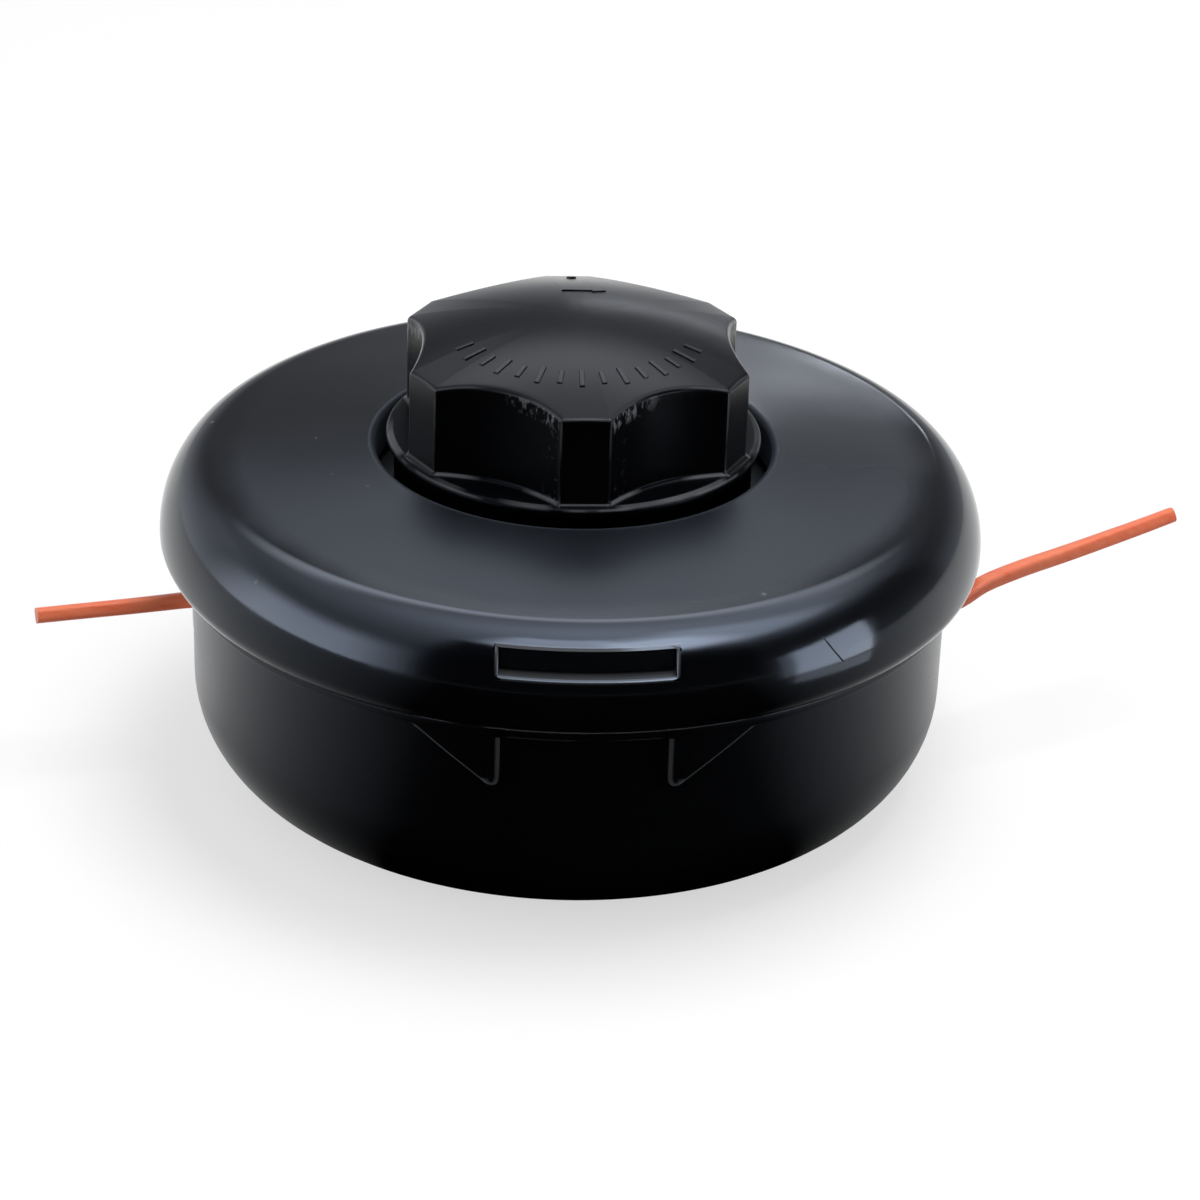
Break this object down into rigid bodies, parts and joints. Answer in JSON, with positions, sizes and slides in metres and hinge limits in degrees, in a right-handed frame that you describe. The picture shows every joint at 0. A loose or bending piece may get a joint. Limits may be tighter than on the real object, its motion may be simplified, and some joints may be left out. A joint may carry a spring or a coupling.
{
  "type": "trimmer head",
  "caption": "Tap-to-feed line head for a garden trimmer: round drum, latched cover, lobed tap knob, sprung spool and orange cutting line.",
  "frame": {"origin": "centre of the drum's flat face that meets the gearbox, on the axis of the head", "axes": "+Z along the axis from the gearbox face to the tap knob, -Y to the front latch, +X to the right line outlet"},
  "size_m": [0.1865, 0.13, 0.0762],
  "materials": {
    "drum_black": "glossy moulded nylon",
    "cover_black": "glossy moulded nylon",
    "knob_black": "satin moulded nylon",
    "spool_black": "satin moulded nylon",
    "line_orange": "extruded nylon line",
    "steel": "zinc plated",
    "spring_steel": "drawn spring wire",
    "brass": "turned",
    "eyelet_metal": "polished"
  },
  "bodies": {
    "drum": {"housing": "drum_black", "arbor_nut": "steel", "hub_sleeve": "brass", "eyelet_left": "eyelet_metal", "eyelet_right": "eyelet_metal", "cover": "cover_black", "spring_seat_washer": "steel", "line_tail_left": "line_orange", "line_tail_right": "line_orange"},
    "spring_carrier": {"spring": "spring_steel", "spring_washer": "steel"},
    "feed": {"spool": "spool_black", "spool_bush": "brass", "line_coil_lower": "line_orange", "line_coil_upper": "line_orange", "bump_knob": "knob_black", "knob_nut": "steel", "knob_washer": "steel", "retaining_bolt": "steel", "bolt_washer": "steel"}
  },
  "joints": [
    {"name": "tap", "type": "slide", "parent": "drum", "child": "spring_carrier", "axis": [0, 0, 1], "range_m": [-0.006, 0], "stiffness_N_per_m": 2000, "springref_m": 0.01, "deforming": ["spring"]},
    {"name": "spool_turn", "type": "hinge", "parent": "spring_carrier", "child": "feed", "pos_m": [0, 0, 0.03], "axis": [0, 0, 1], "continuous": true}
  ]
}
